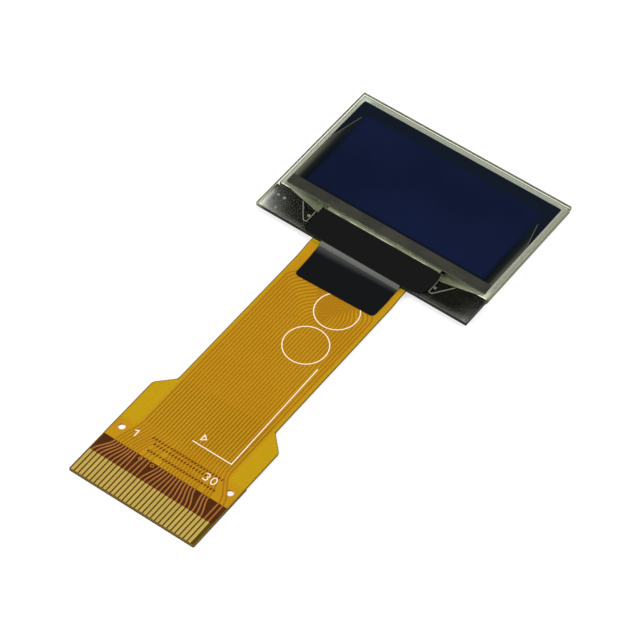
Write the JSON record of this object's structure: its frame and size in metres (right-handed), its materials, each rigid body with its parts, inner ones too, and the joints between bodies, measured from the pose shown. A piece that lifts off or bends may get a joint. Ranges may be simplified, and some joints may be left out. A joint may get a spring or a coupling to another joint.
{
  "type": "small oled module",
  "caption": "Small sealed glass display panel with a driver chip on its ledge and a flexible printed tail that ends in a plug-in contact edge.",
  "frame": {"origin": "centre of the back glass, on its outer face, which is the face that the module is stuck down by", "axes": "+X across the panel, +Y away from the tail, +Z out of the viewing side"},
  "size_m": [0.0266, 0.0571, 0.0012],
  "materials": {
    "front_glass": "clear, ground edges",
    "back_glass": "clear, with an etched pocket",
    "polarizer": "dark blue film, satin",
    "sealant": "cured resin",
    "desiccant": "matt white sheet",
    "pixels": "thin organic layers",
    "cathode": "evaporated metal",
    "leads": "fine etched lines",
    "marks": "bright metal film",
    "chip": "bare ground silicon",
    "bond_film": "cured film with conductive grains",
    "resin": "dark cured resin",
    "tape": "black film, satin",
    "base_film": "amber film",
    "copper": "etched copper",
    "gilding": "gilded, satin",
    "cover_film": "amber film, glossy",
    "stiffener": "dark amber sheet"
  },
  "bodies": {
    "root": {"front_glass": "front_glass", "back_glass": "back_glass", "polarizer_film": "polarizer", "edge_sealant": "sealant", "desiccant_sheet": "desiccant", "pixel_layer": "pixels", "cathode_layer": "cathode", "column_leads": "leads", "row_leads_left": "leads", "row_leads_right": "leads", "ledge_marks": "marks", "driver_chip": "chip", "chip_bond_film": "bond_film", "tail_bond_film": "bond_film", "ledge_resin": "resin", "shield_tape": "tape", "base_film": "base_film", "copper_lanes": "copper", "contacts": "gilding", "top_cover_film": "cover_film", "bottom_cover_film": "cover_film", "end_stiffener": "stiffener"}
  },
  "joints": []
}
